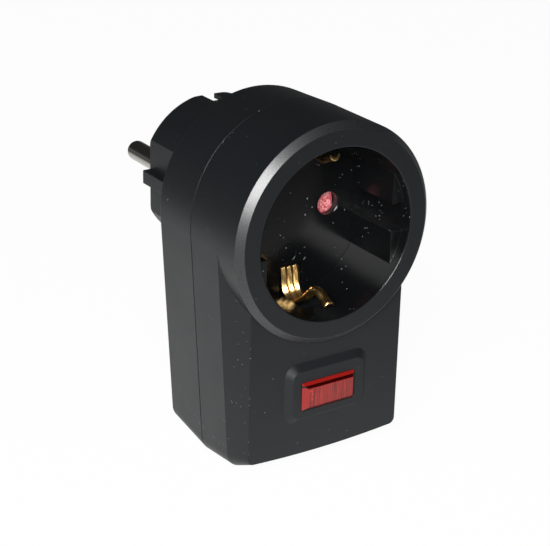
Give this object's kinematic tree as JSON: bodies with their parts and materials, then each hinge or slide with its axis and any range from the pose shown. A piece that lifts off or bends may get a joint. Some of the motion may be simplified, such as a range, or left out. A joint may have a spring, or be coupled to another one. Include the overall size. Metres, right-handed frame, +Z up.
{
  "type": "surge protector adapter",
  "caption": "Upright black plug-through adapter with a recessed earthed socket, red shutter, red lamp lens and a two-pin earthed plug.",
  "frame": {"origin": "centre of the plug's flat end face, on the common axis of plug and socket", "axes": "+Y out of the plug's end face along its pins, into the wall; +Z up, away from the signal lamp; +X to the right seen from the socket side"},
  "size_m": [0.0502, 0.0725, 0.0811],
  "materials": {
    "housing_black": "satin, finely spark textured",
    "plate_black": "matt",
    "pin_nickel": "nickel plated, bright",
    "contact_brass": "bright strip",
    "shutter_red": "satin",
    "spring_steel": "plain wire",
    "board_green": "solder resist",
    "fuse_white": "ceramic",
    "tube_ceramic": "glazed ceramic",
    "resistor_tan": "lacquered",
    "lamp_glass": "clear",
    "lens_red": "clear red, fluted inside",
    "varistor_blue": "dipped resin",
    "screw_steel": "zinc plated"
  },
  "bodies": {
    "housing": {"front_housing": "housing_black", "socket_floor": "housing_black", "rear_housing": "housing_black", "plug_body": "housing_black", "plug_pin_left": "pin_nickel", "plug_pin_right": "pin_nickel", "contact_left": "contact_brass", "contact_right": "contact_brass", "socket_earth_bow": "contact_brass", "plug_earth_bow": "contact_brass", "earth_rivet": "contact_brass", "shutter_plate": "plate_black", "shutter_spring": "spring_steel", "circuit_board": "board_green", "thermal_fuse": "fuse_white", "gas_discharge_tube": "tube_ceramic", "series_resistor": "resistor_tan", "neon_lamp": "lamp_glass", "indicator_lens": "lens_red", "varistor_1": "varistor_blue", "varistor_2": "varistor_blue", "varistor_3": "varistor_blue", "housing_screw_1": "screw_steel", "housing_screw_2": "screw_steel", "housing_screw_3": "screw_steel", "housing_screw_4": "screw_steel"},
    "shutter_body": {"shutter": "shutter_red"}
  },
  "joints": [
    {"name": "shutter_turn", "type": "hinge", "parent": "housing", "child": "shutter_body", "pos_m": [0, -0.03315, 0], "axis": [0, 1, 0], "range_deg": [0, 36], "stiffness_Nm_per_rad": 0.004, "springref_deg": -11.46, "deforming": ["shutter_spring"]}
  ]
}
